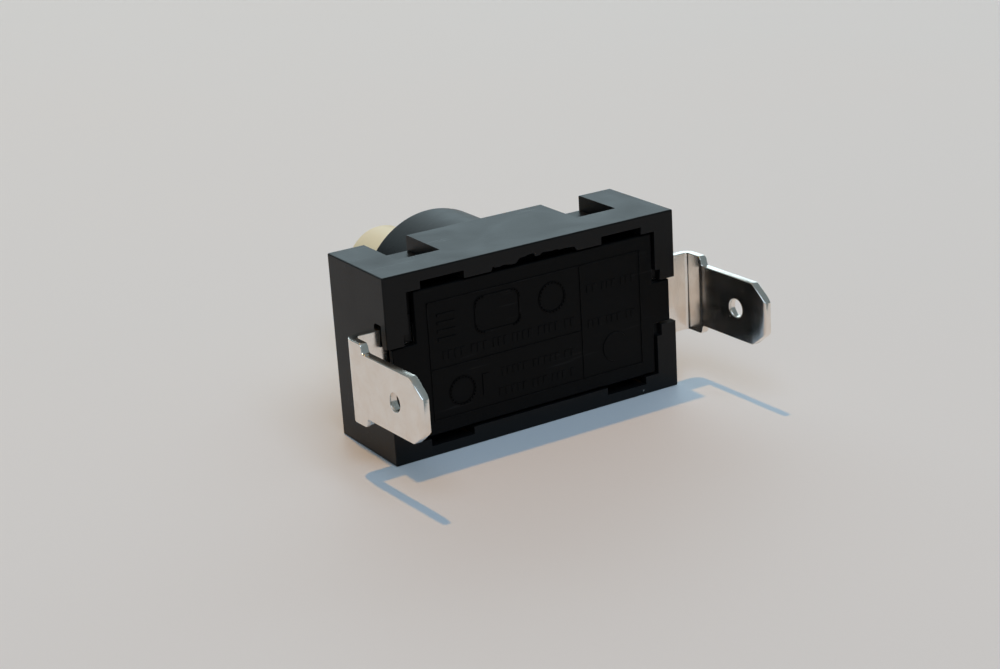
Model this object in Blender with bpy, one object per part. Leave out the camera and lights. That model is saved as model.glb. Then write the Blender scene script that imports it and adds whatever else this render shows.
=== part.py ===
"""Push-button mains switch with a round guide collar and two blade terminals.

The switch lies on its long side. Its rear cover faces -Y, its plunger points to +Y, and both
blade terminals leave the end walls and bend back to -Y. Shapes are drawn in millimetres, with
y counted from the rear face of the housing, and are placed in metres by add_part().
"""
import math

import bmesh
import bpy
from mathutils import Matrix, Vector

MM = 0.001

# Housing block
HOUSING_LENGTH = 32.7
HOUSING_HEIGHT = 18.5
HOUSING_DEPTH = 10.75
EDGE_RADIUS = 0.15
FRONT_WALL = 1.4
AXIS_Z = HOUSING_HEIGHT / 2
HALF_LENGTH = HOUSING_LENGTH / 2

# Chamber inside the housing, and the shallow seat of the rear cover
CHAMBER_HALF_X = 13.2
CHAMBER_HALF_Z = 6.25
SEAT_HALF_X = 14.0
SEAT_HALF_Z = 7.45
SEAT_DEPTH = 1.0
CORNER_RELIEF_DEPTH = 0.75

# Guide collar around the plunger
COLLAR_RADIUS = 8.4
COLLAR_REACH = 9.25
COLLAR_CHAMFER = 0.4
COLLAR_END = HOUSING_DEPTH + COLLAR_REACH
GUIDE_RADIUS = 6.3
MOUTH_WALL = 1.4
MOUTH_RADIUS = 4.4
KEYWAY_DEPTH = 0.7
KEYWAY_HALF_WIDTH = 1.1

# Four snap stations that hold the rear cover: two on the top side and two on the bottom side
SNAP_X = 10.1
SNAP_HALF_WIDTH = 2.35
POCKET_REAR = 4.2
POCKET_DEPTH = 1.6
WINDOW_FRONT = 6.4
RIM_NOTCH_HEIGHT = 0.75
RIM_NOTCH_DEPTH = 2.2

# Rear cover
COVER_FACE = 0.2
COVER_THICKNESS = 0.75
COVER_LEFT = -13.15
COVER_RIGHT = 13.75
COVER_HALF_Z = 7.25
COVER_INNER = COVER_FACE + COVER_THICKNESS
TONGUE_END = 15.75
TONGUE_HALF_WIDTH = 2.15
TONGUE_GAP = 0.2
LEG_OUTER = 7.25
LEG_INNER = 6.4
LEG_GAP = 0.3
HOOK_HEIGHT = 8.1
HOOK_REAR = 4.4
HOOK_FRONT = 6.1

# Blade terminals
STRIP_THICKNESS = 0.8
STRIP_Y = 1.5
STRIP_START = 6.4
BEND_RADIUS = 0.75
BLADE_HALF_WIDTH = 3.15
SHOULDER_HALF_WIDTH = 4.05
CONTACT_END_HALF_WIDTH = 3.0
BLADE_HOLE_Y = -6.45
BLADE_HOLE_RADIUS = 0.9
TIP_HALF_WIDTH = 1.6
TIP_TAPER = 1.95
TIP_CHAMFER = 0.4
TIP_THICKNESS = 0.62
STRIP_EDGE = 0.08
SHOULDER_START_X = 13.0
SHOULDER_STEP = 0.4
SHOULDER_END_Y = -0.85
BLADE_START_Y = -1.35
BEND_STEPS = 6
# Where each blade's middle plane leaves the bend, how many degrees it was bent, and where it ends
BLADES = {"right": (19.1, 88.8, -10.9), "left": (19.33, 92.5, -11.2)}
LONGEST_TIP_Y = -11.2

# Contacts
CONTACT_X = 8.4
SHANK_RADIUS = 0.8
SHANK_HOLE_RADIUS = 0.9
FIXED_FACE_Y = 2.65
CONTACT_GAP = 2.15
MOVING_FACE_Y = FIXED_FACE_Y + CONTACT_GAP
BRIDGE_REAR = 5.5
BRIDGE_FRONT = 6.1
BRIDGE_HALF_LENGTH = 10.3
BRIDGE_HALF_WIDTH = 2.3
BRIDGE_EYE_RADIUS = 4.3
BRIDGE_HOLE_RADIUS = 2.7
CLIP_Y = (4.88, 5.32)

# Plunger and cam carrier
PLUNGER_RADIUS = 4.2
PLUNGER_END = 31.6
FLANGE_RADIUS = 6.1
FLANGE_REAR = 15.6
FLANGE_FRONT = 18.4
SPIGOT_RADIUS = 2.8
CARRIER_REAR = 9.2
CARRIER_FRONT = 15.4
CARRIER_HALF_X = 4.1
CARRIER_HALF_Z = 4.25
STEM_RADIUS = 2.5
STEM_END = 4.6
SPRING_BORE_RADIUS = 1.75
SPRING_BORE_END = 14.2
CAM_FLOOR = CARRIER_HALF_Z - 0.7

# Latch pin, a bent wire that pivots in the housing and follows the cam
PIN_WIRE_RADIUS = 0.4
PIN_PLAY = 0.08
PIN_PIVOT_Y = 3.5
PIN_TIP_Y = 10.8
PIN_RUN_Z = AXIS_Z + 5.35

# The part's origin lies under the middle of its whole length
REAR_FACE_Y = -(LONGEST_TIP_Y + PLUNGER_END) / 2

ROUND_STEPS = 56
SMALL_STEPS = 24
WELD = 0.0005


def clear_scene():
    for old in list(bpy.data.objects):
        bpy.data.objects.remove(old, do_unlink=True)


def material(name, colour, roughness, metallic=0.0):
    mat = bpy.data.materials.new(name)
    mat.use_nodes = True
    shader = mat.node_tree.nodes["Principled BSDF"]
    shader.inputs["Base Color"].default_value = (*colour, 1.0)
    shader.inputs["Roughness"].default_value = roughness
    shader.inputs["Metallic"].default_value = metallic
    mat.diffuse_color = (*colour, 1.0)
    return mat


# ---------------------------------------------------------------- drawing tools, in millimetres

def box(x_span, y_span, z_span):
    """A box between the given limits."""
    bm = bmesh.new()
    bmesh.ops.create_cube(bm, size=1.0)
    low = Vector((x_span[0], y_span[0], z_span[0]))
    high = Vector((x_span[1], y_span[1], z_span[1]))
    size = high - low
    for vert in bm.verts:
        vert.co = Vector(low[i] + (vert.co[i] + 0.5) * size[i] for i in range(3))
    return bm


def rounded_box(x_span, y_span, z_span, radius, segments=2):
    """A box with all its edges rounded."""
    bm = box(x_span, y_span, z_span)
    bmesh.ops.bevel(bm, geom=list(bm.edges), offset=radius, segments=segments, profile=0.5,
                    affect="EDGES")
    return bm


def turned(profile, centre_x=0.0, centre_z=AXIS_Z, steps=ROUND_STEPS):
    """A solid turned about a line along Y; the profile runs over (radius, y) points."""
    bm = bmesh.new()
    rings = []
    for radius, y in profile:
        if radius == 0:
            rings.append([bm.verts.new((centre_x, y, centre_z))])
            continue
        ring = []
        for step in range(steps):
            angle = math.tau * step / steps
            x = centre_x + radius * math.cos(angle)
            z = centre_z + radius * math.sin(angle)
            ring.append(bm.verts.new((x, y, z)))
        rings.append(ring)
    for ring, following in zip(rings, rings[1:]):
        for step in range(steps):
            after = (step + 1) % steps
            corners = [ring[step % len(ring)], ring[after % len(ring)],
                       following[after % len(following)], following[step % len(following)]]
            bm.faces.new(list(dict.fromkeys(corners)))
    bmesh.ops.recalc_face_normals(bm, faces=bm.faces)
    return bm


def cylinder(radius, y_span, centre_x=0.0, centre_z=AXIS_Z, steps=ROUND_STEPS):
    profile = [(0, y_span[0]), (radius, y_span[0]), (radius, y_span[1]), (0, y_span[1])]
    return turned(profile, centre_x, centre_z, steps)


def prism(outline, low, high, place):
    """An outline of 2-D points pulled from low to high; place() turns (a, b, height) into a point."""
    bm = bmesh.new()
    bottom = [bm.verts.new(place(a, b, low)) for a, b in outline]
    top = [bm.verts.new(place(a, b, high)) for a, b in outline]
    bm.faces.new(bottom)
    bm.faces.new(top)
    for index in range(len(outline)):
        after = (index + 1) % len(outline)
        bm.faces.new([bottom[index], bottom[after], top[after], top[index]])
    bmesh.ops.recalc_face_normals(bm, faces=bm.faces)
    return bm


def along_y(x, z, y):
    return (x, y, AXIS_Z + z)


def along_z(x, y, z):
    return (x, y, AXIS_Z + z)


def along_x(y, z, x):
    return (x, y, AXIS_Z + z)


def arc(centre, radius, start, end, steps):
    """Points of a circular arc, from the start angle to the end angle in degrees."""
    points = []
    for step in range(steps + 1):
        angle = math.radians(start + (end - start) * step / steps)
        points.append((centre[0] + radius * math.cos(angle), centre[1] + radius * math.sin(angle)))
    return points


def wire(path, radius, sides):
    """A round wire along a path of points, closed at both ends."""
    bm = bmesh.new()
    points = [Vector(point) for point in path]
    tangent = (points[1] - points[0]).normalized()
    side = tangent.orthogonal().normalized()
    rings = []
    for index, point in enumerate(points):
        before = points[max(index - 1, 0)]
        after = points[min(index + 1, len(points) - 1)]
        tangent = (after - before).normalized()
        side = (side - tangent * side.dot(tangent)).normalized()
        up = tangent.cross(side)
        ring = []
        for corner in range(sides):
            angle = math.tau * corner / sides
            ring.append(bm.verts.new(point + radius * (side * math.cos(angle) + up * math.sin(angle))))
        rings.append(ring)
    bm.faces.new(rings[0])
    bm.faces.new(rings[-1])
    for ring, following in zip(rings, rings[1:]):
        for corner in range(sides):
            after = (corner + 1) % sides
            bm.faces.new([ring[corner], ring[after], following[after], following[corner]])
    bmesh.ops.recalc_face_normals(bm, faces=bm.faces)
    return bm


def coil(mean_radius, wire_radius, rear, front, turns, steps_per_turn, sides):
    """A compression spring about the plunger's axis, with one closed turn at each end."""
    count = round(turns * steps_per_turn)
    rise_end = 2.2 * wire_radius
    low = rear + wire_radius
    high = front - wire_radius
    path = []
    for step in range(count + 1):
        turn = turns * step / count
        if turn <= 1:
            y = low + rise_end * turn
        elif turn >= turns - 1:
            y = high - rise_end * (turns - turn)
        else:
            share = (turn - 1) / (turns - 2)
            y = low + rise_end + share * (high - low - 2 * rise_end)
        angle = math.tau * turn
        path.append((mean_radius * math.cos(angle), y, AXIS_Z + mean_radius * math.sin(angle)))
    return wire(path, wire_radius, sides)


def mirrored(bm, axis):
    """The shape's mirror image through the middle plane: axis 0 swaps left and right, 2 top and bottom."""
    copy = bm.copy()
    for vert in copy.verts:
        vert.co[axis] = -vert.co[axis] if axis == 0 else HOUSING_HEIGHT - vert.co[axis]
    bmesh.ops.reverse_faces(copy, faces=copy.faces)
    return copy


def four_corners(bm):
    """The shape and its images on all four snap stations."""
    left = mirrored(bm, 0)
    return [bm, left, mirrored(bm, 2), mirrored(left, 2)]


def scratch_object(bm, name):
    mesh = bpy.data.meshes.new(name)
    bm.to_mesh(mesh)
    bm.free()
    obj = bpy.data.objects.new(name, mesh)
    bpy.context.scene.collection.objects.link(obj)
    return obj


def welded(mesh):
    """The mesh as a bmesh, with the doubled points that a Boolean leaves on shared planes joined."""
    bm = bmesh.new()
    bm.from_mesh(mesh)
    bmesh.ops.remove_doubles(bm, verts=bm.verts, dist=WELD)
    bmesh.ops.dissolve_degenerate(bm, edges=bm.edges, dist=WELD)
    return bm


def combine(body, tools, operation):
    """Cut the tools from the body, or join them to it, one after the other."""
    for tool in tools:
        target = scratch_object(body, "work_body")
        helper = scratch_object(tool, "work_tool")
        modifier = target.modifiers.new("work", "BOOLEAN")
        modifier.operation = operation
        modifier.solver = "EXACT"
        modifier.object = helper
        evaluated = target.evaluated_get(bpy.context.evaluated_depsgraph_get())
        body = welded(evaluated.to_mesh())
        bpy.data.objects.remove(helper, do_unlink=True)
        bpy.data.objects.remove(target, do_unlink=True)
    return body


def cut(body, *tools):
    return combine(body, tools, "DIFFERENCE")


def join(body, *tools):
    return combine(body, tools, "UNION")


def add_part(name, bm, mat, origin=(0.0, HOUSING_DEPTH / 2, AXIS_Z)):
    """Make the object in metres, with its origin at the given place in the housing's millimetres."""
    origin = Vector(origin)
    bm.transform(Matrix.Scale(MM, 4) @ Matrix.Translation(-origin))
    mesh = bpy.data.meshes.new(name)
    bm.to_mesh(mesh)
    bm.free()
    mesh.materials.clear()
    mesh.materials.append(mat)
    mesh.shade_smooth()
    mesh.set_sharp_from_angle(angle=math.radians(35))
    obj = bpy.data.objects.new(name, mesh)
    obj.location = (origin + Vector((0.0, REAR_FACE_Y, 0.0))) * MM
    bpy.context.scene.collection.objects.link(obj)
    return obj


# ---------------------------------------------------------------- moulded body

def housing_shell():
    """The block with its collar, before the chamber and the pockets are cut."""
    block = rounded_box((-HALF_LENGTH, HALF_LENGTH), (0, HOUSING_DEPTH), (0, HOUSING_HEIGHT), EDGE_RADIUS)
    root = HOUSING_DEPTH - 1.0
    collar = turned([
        (0, root),
        (COLLAR_RADIUS, root),
        (COLLAR_RADIUS, COLLAR_END - COLLAR_CHAMFER),
        (COLLAR_RADIUS - COLLAR_CHAMFER, COLLAR_END),
        (0, COLLAR_END),
    ])
    return join(block, collar)


def chamber_cuts():
    """The chamber, the cover's seat and the stepped bore through the collar."""
    z_seat = (AXIS_Z - SEAT_HALF_Z, AXIS_Z + SEAT_HALF_Z)
    z_chamber = (AXIS_Z - CHAMBER_HALF_Z, AXIS_Z + CHAMBER_HALF_Z)
    seat = box((-SEAT_HALF_X, SEAT_HALF_X), (-1, SEAT_DEPTH), z_seat)
    chamber = box((-CHAMBER_HALF_X, CHAMBER_HALF_X), (-1, HOUSING_DEPTH - FRONT_WALL), z_chamber)
    guide = cylinder(GUIDE_RADIUS, (HOUSING_DEPTH - 3, COLLAR_END - MOUTH_WALL))
    mouth = cylinder(MOUTH_RADIUS, (HOUSING_DEPTH, COLLAR_END + 1))
    keyway_reach = GUIDE_RADIUS + KEYWAY_DEPTH
    keyway = box((-keyway_reach, keyway_reach), (HOUSING_DEPTH - 3, COLLAR_END - MOUTH_WALL),
                 (AXIS_Z - KEYWAY_HALF_WIDTH, AXIS_Z + KEYWAY_HALF_WIDTH))
    return [seat, chamber, guide, mouth, keyway]


def snap_cuts():
    """At each snap station: the outer pocket, the leg's channel with its window, and the rim notch."""
    x_span = (SNAP_X - SNAP_HALF_WIDTH, SNAP_X + SNAP_HALF_WIDTH)
    pocket_floor = HOUSING_HEIGHT / 2 - POCKET_DEPTH
    inside = CHAMBER_HALF_Z - 1
    channel_outline = [
        (-1, inside),
        (WINDOW_FRONT, inside),
        (WINDOW_FRONT, pocket_floor + 0.5),
        (POCKET_REAR, pocket_floor + 0.5),
        (POCKET_REAR, SEAT_HALF_Z),
        (RIM_NOTCH_DEPTH, SEAT_HALF_Z),
        (RIM_NOTCH_DEPTH, SEAT_HALF_Z + RIM_NOTCH_HEIGHT),
        (-1, SEAT_HALF_Z + RIM_NOTCH_HEIGHT),
    ]
    channel = prism(channel_outline, *x_span, along_x)
    pocket = box(x_span, (POCKET_REAR, HOUSING_DEPTH + 1), (AXIS_Z + pocket_floor, HOUSING_HEIGHT + 1))
    cuts = []
    for shape in (channel, pocket):
        cuts += four_corners(shape)
    return cuts


def terminal_cuts():
    """In each end wall: the slot that the strip passes, and the cut-out that the cover's tongue closes."""
    slot_half = SHOULDER_HALF_WIDTH + 0.45
    corner = 0.4
    slot_outline = [
        (0.95, -slot_half),
        (2.3 - corner, -slot_half),
        *arc((2.3 - corner, -slot_half + corner), corner, -90, 0, 3),
        *arc((2.3 - corner, slot_half - corner), corner, 0, 90, 3),
        (0.95, slot_half),
    ]
    slot_outline = list(dict.fromkeys(slot_outline))
    slot = prism(slot_outline, CHAMBER_HALF_X - 1, HALF_LENGTH + 1, along_x)
    half = TONGUE_HALF_WIDTH + TONGUE_GAP
    cut_out = box((SEAT_HALF_X - 0.5, HALF_LENGTH + 1), (-1, SEAT_DEPTH + 0.2),
                  (AXIS_Z - half, AXIS_Z + half))
    relief = box((SEAT_HALF_X - 0.5, SEAT_HALF_X + 0.55), (-1, CORNER_RELIEF_DEPTH),
                 (AXIS_Z - half - 1.1, AXIS_Z + half + 1.1))
    cuts = []
    for shape in (slot, cut_out, relief):
        cuts += [shape, mirrored(shape, 0)]
    return cuts


def make_housing(mat):
    """The black moulded body: a block open at the rear, with the plunger's collar on its front."""
    rim_relief = prism([(-5.0, -0.4), (-4.4, 0.5), (4.5, 0.5), (5.2, -0.4)], -1, 0.8,
                       lambda x, z, y: along_y(x, SEAT_HALF_Z + z, y))
    ceiling = AXIS_Z + CHAMBER_HALF_Z
    pin_hole = prism(arc((0, PIN_PIVOT_Y), PIN_WIRE_RADIUS + PIN_PLAY, 0, 345, 23), CHAMBER_HALF_Z - 1,
                     CHAMBER_HALF_Z + 1.8, along_z)
    leaf_slot = box((-1.4, 1.4), (8.45, 8.95), (ceiling - 1, ceiling + 1.3))
    cuts = chamber_cuts() + snap_cuts() + terminal_cuts() + [rim_relief, pin_hole, leaf_slot]
    return add_part("housing", cut(housing_shell(), *cuts), mat)


def make_rear_cover(mat):
    """The snap-in rear cover: a plate with two end tongues, four hooked legs and a spring boss."""
    z_span = (AXIS_Z - COVER_HALF_Z, AXIS_Z + COVER_HALF_Z)
    plate = box((COVER_LEFT, COVER_RIGHT), (COVER_FACE, COVER_INNER), z_span)
    tongue = box((-TONGUE_END, TONGUE_END), (COVER_FACE, COVER_INNER - 0.05),
                 (AXIS_Z - TONGUE_HALF_WIDTH, AXIS_Z + TONGUE_HALF_WIDTH))
    boss = cylinder(1.15, (COVER_INNER - 0.4, 3.2), steps=SMALL_STEPS)
    leg_outline = [
        (COVER_INNER - 0.4, LEG_INNER),
        (HOOK_FRONT, LEG_INNER),
        (HOOK_FRONT, LEG_OUTER),
        (HOOK_REAR + 0.3, HOOK_HEIGHT),
        (HOOK_REAR, HOOK_HEIGHT),
        (HOOK_REAR, LEG_OUTER),
        (COVER_INNER - 0.4, LEG_OUTER),
    ]
    leg_half = SNAP_HALF_WIDTH - LEG_GAP
    leg = prism(leg_outline, SNAP_X - leg_half, SNAP_X + leg_half, along_x)
    return add_part("rear_cover", join(plate, tongue, boss, *four_corners(leg)), mat)


# ---------------------------------------------------------------- terminals and contacts

def strip_stations(blade_x, bend_degrees, tip_y):
    """Where the strip's width or thickness changes: (distance along it, half width, thickness)."""
    leg = blade_x - BEND_RADIUS - STRIP_START
    bend = BEND_RADIUS * math.radians(bend_degrees)
    bend_y = STRIP_Y - BEND_RADIUS

    def at_y(y):
        return leg + bend + (bend_y - y)

    shoulder_start = SHOULDER_START_X - STRIP_START
    full = STRIP_THICKNESS
    stations = [
        (0.0, CONTACT_END_HALF_WIDTH - 0.5, full),
        (0.5, CONTACT_END_HALF_WIDTH, full),
        (shoulder_start - 0.6, CONTACT_END_HALF_WIDTH, full),
        (shoulder_start, SHOULDER_HALF_WIDTH, full),
        (leg, SHOULDER_HALF_WIDTH, full),
    ]
    for step in range(1, BEND_STEPS):
        stations.append((leg + bend * step / BEND_STEPS, SHOULDER_HALF_WIDTH, full))
    stations += [
        (leg + bend, SHOULDER_HALF_WIDTH, full),
        (at_y(SHOULDER_END_Y), SHOULDER_HALF_WIDTH, full),
        (at_y(SHOULDER_END_Y - 0.3), SHOULDER_HALF_WIDTH - SHOULDER_STEP, full),
        (at_y(BLADE_START_Y), BLADE_HALF_WIDTH, full),
        (at_y(tip_y + TIP_TAPER), BLADE_HALF_WIDTH, full),
        (at_y(tip_y + TIP_CHAMFER), TIP_HALF_WIDTH + 0.8 * TIP_CHAMFER, full),
        (at_y(tip_y), TIP_HALF_WIDTH, TIP_THICKNESS),
    ]
    return stations, leg, bend


def strip_frame(distance, leg, bend, blade_x):
    """The place and the outward direction of the strip's middle line at a distance along it."""
    if distance <= leg:
        return Vector((STRIP_START + distance, STRIP_Y, AXIS_Z)), Vector((0, 1, 0))
    centre = Vector((blade_x - BEND_RADIUS, STRIP_Y - BEND_RADIUS, AXIS_Z))
    angle = min(distance - leg, bend) / BEND_RADIUS
    outward = Vector((math.sin(angle), math.cos(angle), 0))
    along = Vector((math.cos(angle), -math.sin(angle), 0))
    return centre + outward * BEND_RADIUS + along * max(distance - leg - bend, 0), outward


def terminal_strip(blade_x, bend_degrees, tip_y):
    """A terminal, drawn as a right-hand one: a flat strip that leaves the end wall and bends back."""
    stations, leg, bend = strip_stations(blade_x, bend_degrees, tip_y)
    bm = bmesh.new()
    rings = []
    for distance, half_width, thickness in stations:
        middle, outward = strip_frame(distance, leg, bend, blade_x)
        half = thickness / 2
        section = [
            (-half, -half_width + STRIP_EDGE),
            (-half + STRIP_EDGE, -half_width),
            (half - STRIP_EDGE, -half_width),
            (half, -half_width + STRIP_EDGE),
            (half, half_width - STRIP_EDGE),
            (half - STRIP_EDGE, half_width),
            (-half + STRIP_EDGE, half_width),
            (-half, half_width - STRIP_EDGE),
        ]
        corners = [middle + outward * depth + Vector((0, 0, rise)) for depth, rise in section]
        rings.append([bm.verts.new(place) for place in corners])
    bm.faces.new(rings[0])
    bm.faces.new(rings[-1])
    for ring, following in zip(rings, rings[1:]):
        for corner in range(len(ring)):
            after = (corner + 1) % len(ring)
            bm.faces.new([ring[corner], ring[after], following[after], following[corner]])
    bmesh.ops.recalc_face_normals(bm, faces=bm.faces)
    hole_distance = leg + bend + STRIP_Y - BEND_RADIUS - BLADE_HOLE_Y
    hole_place, outward = strip_frame(hole_distance, leg, bend, blade_x)
    blade_hole = cylinder(BLADE_HOLE_RADIUS, (-2, 2), centre_z=0.0, steps=SMALL_STEPS)
    turn = Vector((0, 1, 0)).rotation_difference(outward).to_matrix().to_4x4()
    blade_hole.transform(Matrix.Translation(hole_place) @ turn)
    rivet_hole = cylinder(SHANK_HOLE_RADIUS, (STRIP_Y - 2, STRIP_Y + 2), centre_x=CONTACT_X,
                          steps=SMALL_STEPS)
    return cut(bm, blade_hole, rivet_hole)


def make_terminals(mat):
    right = terminal_strip(*BLADES["right"])
    left = mirrored(terminal_strip(*BLADES["left"]), 0)
    add_part("terminal_right", right, mat, (BLADES["right"][0], STRIP_Y, AXIS_Z))
    add_part("terminal_left", left, mat, (-BLADES["left"][0], STRIP_Y, AXIS_Z))


def contact_rivet(face_y, head_radius, head_depth, shank_end, tail_radius, centre_x):
    """A contact rivet whose domed face looks along the line of travel, with a shank and a formed tail."""
    toward = 1 if shank_end > face_y else -1
    profile = [
        (0, face_y),
        (head_radius * 0.7, face_y),
        (head_radius, face_y + toward * head_depth * 0.35),
        (head_radius, face_y + toward * head_depth),
        (SHANK_RADIUS, face_y + toward * head_depth),
    ]
    if tail_radius > SHANK_RADIUS:
        tail_depth = 0.25
        profile += [
            (SHANK_RADIUS, shank_end - toward * tail_depth),
            (tail_radius, shank_end - toward * tail_depth),
            (tail_radius * 0.8, shank_end),
        ]
    else:
        profile.append((SHANK_RADIUS, shank_end))
    profile.append((0, shank_end))
    return turned(profile, centre_x=centre_x, steps=SMALL_STEPS)


def make_contacts(mat):
    for side, sign in (("left", -1), ("right", 1)):
        x = sign * CONTACT_X
        fixed = contact_rivet(FIXED_FACE_Y, 1.8, 0.65, 1.05, 0, x)
        add_part(f"fixed_contact_{side}", fixed, mat, (x, FIXED_FACE_Y, AXIS_Z))
        moving = contact_rivet(MOVING_FACE_Y, 1.7, 0.6, 6.45, 1.2, x)
        add_part(f"moving_contact_{side}", moving, mat, (x, MOVING_FACE_Y, AXIS_Z))


def make_contact_bridge(mat):
    """The flat bar that joins the two moving contacts, with an eye that slides on the carrier's stem."""
    neck = math.degrees(math.asin(BRIDGE_HALF_WIDTH / BRIDGE_EYE_RADIUS))
    corner = 0.8
    x_end = BRIDGE_HALF_LENGTH - corner
    z_end = BRIDGE_HALF_WIDTH - corner
    outline = [
        *arc((x_end, -z_end), corner, -90, 0, 3),
        *arc((x_end, z_end), corner, 0, 90, 3),
        *arc((0, 0), BRIDGE_EYE_RADIUS, neck, 180 - neck, 12),
        *arc((-x_end, z_end), corner, 90, 180, 3),
        *arc((-x_end, -z_end), corner, 180, 270, 3),
        *arc((0, 0), BRIDGE_EYE_RADIUS, 180 + neck, 360 - neck, 12),
    ]
    bar = prism(outline, BRIDGE_REAR, BRIDGE_FRONT, along_y)
    span = (BRIDGE_REAR - 1, BRIDGE_FRONT + 1)
    eye = cylinder(BRIDGE_HOLE_RADIUS, span, steps=32)
    rivet_holes = []
    for x in (-CONTACT_X, CONTACT_X):
        rivet_holes.append(cylinder(SHANK_HOLE_RADIUS, span, centre_x=x, steps=SMALL_STEPS))
    return add_part("contact_bridge", cut(bar, eye, *rivet_holes), mat, (0, BRIDGE_REAR, AXIS_Z))


# ---------------------------------------------------------------- plunger, carrier and latch

def make_plunger(mat):
    """The pale push button: a round head, a guided flange with two keys, and a socket for the carrier."""
    fillet = 0.7
    profile = [
        (0, FLANGE_REAR),
        (FLANGE_RADIUS, FLANGE_REAR),
        (FLANGE_RADIUS, FLANGE_FRONT),
        (PLUNGER_RADIUS, FLANGE_FRONT),
        *arc((PLUNGER_RADIUS - fillet, PLUNGER_END - fillet), fillet, 0, 90, 5),
        (0, PLUNGER_END),
    ]
    socket = cylinder(SPIGOT_RADIUS + 0.1, (FLANGE_REAR - 1, 18.0), steps=32)
    reach = GUIDE_RADIUS + KEYWAY_DEPTH - 0.2
    half = KEYWAY_HALF_WIDTH - 0.2
    keys = []
    for sign in (-1, 1):
        span = sorted((sign * (FLANGE_RADIUS - 0.8), sign * reach))
        keys.append(box(span, (FLANGE_REAR + 0.3, FLANGE_FRONT - 0.3), (AXIS_Z - half, AXIS_Z + half)))
    body = cut(join(turned(profile), *keys), socket)
    return add_part("plunger", body, mat, (0, FLANGE_REAR, AXIS_Z))


def make_cam_carrier(mat):
    """The slider behind the plunger: a stem for the contact bridge, and the latch's heart cam on top."""
    block = box((-CARRIER_HALF_X, CARRIER_HALF_X), (CARRIER_REAR, CARRIER_FRONT),
                (AXIS_Z - CARRIER_HALF_Z, AXIS_Z + CARRIER_HALF_Z))
    groove_radius = STEM_RADIUS - 0.3
    core = turned([
        (0, STEM_END),
        (STEM_RADIUS, STEM_END),
        (STEM_RADIUS, CLIP_Y[0] - 0.08),
        (groove_radius, CLIP_Y[0] - 0.08),
        (groove_radius, CLIP_Y[1] + 0.08),
        (STEM_RADIUS, CLIP_Y[1] + 0.08),
        (STEM_RADIUS, CARRIER_REAR + 1),
        (SPIGOT_RADIUS, CARRIER_REAR + 1.5),
        (SPIGOT_RADIUS, 17.7),
        (0, 17.7),
    ], steps=32)
    bore = cylinder(SPRING_BORE_RADIUS, (STEM_END - 1, SPRING_BORE_END), steps=SMALL_STEPS)
    track = [(-2.0, 10.2), (2.0, 10.2), (2.0, 14.3), (1.4, 14.9), (-1.4, 14.9), (-2.0, 14.3)]
    heart = [(0.55, 11.7), (1.1, 12.7), (1.1, 13.8), (0.5, 13.3), (-0.1, 13.8), (-0.1, 13.0)]
    track_cut = cut(prism(track, CAM_FLOOR, CARRIER_HALF_Z + 1, along_z),
                    prism(heart, CAM_FLOOR - 1, CARRIER_HALF_Z + 2, along_z))
    body = cut(join(block, core), bore, track_cut)
    return add_part("cam_carrier", body, mat, (0, CARRIER_REAR, AXIS_Z))


def make_bridge_clip(mat):
    """The open spring clip in the stem's groove that keeps the contact bridge on the stem."""
    gap = 35
    outline = arc((0, 0), 3.7, -90 + gap, 270 - gap, 28)
    outline += list(reversed(arc((0, 0), 2.28, -90 + gap, 270 - gap, 28)))
    return add_part("bridge_clip", prism(outline, *CLIP_Y, along_y), mat, (0, CLIP_Y[0], AXIS_Z))


def make_springs(mat):
    return_spring = coil(1.43, 0.18, COVER_INNER + 0.05, SPRING_BORE_END - 0.1, 11, 16, 6)
    add_part("return_spring", return_spring, mat, (0, COVER_INNER, AXIS_Z))
    contact_spring = coil(3.4, 0.22, BRIDGE_FRONT + 0.05, CARRIER_REAR - 0.05, 3.25, 24, 6)
    add_part("contact_spring", contact_spring, mat, (0, CARRIER_REAR, AXIS_Z))


def make_latch(pin_mat, leaf_mat):
    """The bent wire that follows the heart cam, and the leaf spring that holds it down in the track."""
    bend = 0.55
    steps = 4
    path = [(0, PIN_PIVOT_Y, PIN_RUN_Z + 2.3), (0, PIN_PIVOT_Y, PIN_RUN_Z + bend + 0.3)]
    for y, z in arc((PIN_PIVOT_Y + bend, PIN_RUN_Z + bend), bend, 180, 270, steps):
        path.append((0, y, z))
    for y, z in arc((PIN_TIP_Y - bend, PIN_RUN_Z - bend), bend, 90, 0, steps):
        path.append((0, y, z))
    path.append((0, PIN_TIP_Y, AXIS_Z + CAM_FLOOR + 0.15))
    add_part("latch_pin", wire(path, PIN_WIRE_RADIUS, 16), pin_mat, (0, PIN_PIVOT_Y, PIN_RUN_Z))
    leaf_rest = 5.92
    sheet = 0.2
    leaf_outline = [
        (4.4, leaf_rest + 0.02),
        (4.9, leaf_rest - 0.12),
        (8.8, leaf_rest),
        (8.8, 7.35),
        (8.8 - sheet, 7.35),
        (8.8 - sheet, leaf_rest + sheet),
        (4.9, leaf_rest + sheet - 0.12),
        (4.4, leaf_rest + sheet + 0.02),
    ]
    leaf = prism(leaf_outline, -1.2, 1.2, along_x)
    add_part("latch_leaf_spring", leaf, leaf_mat, (0, 8.7, AXIS_Z + leaf_rest))


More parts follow.
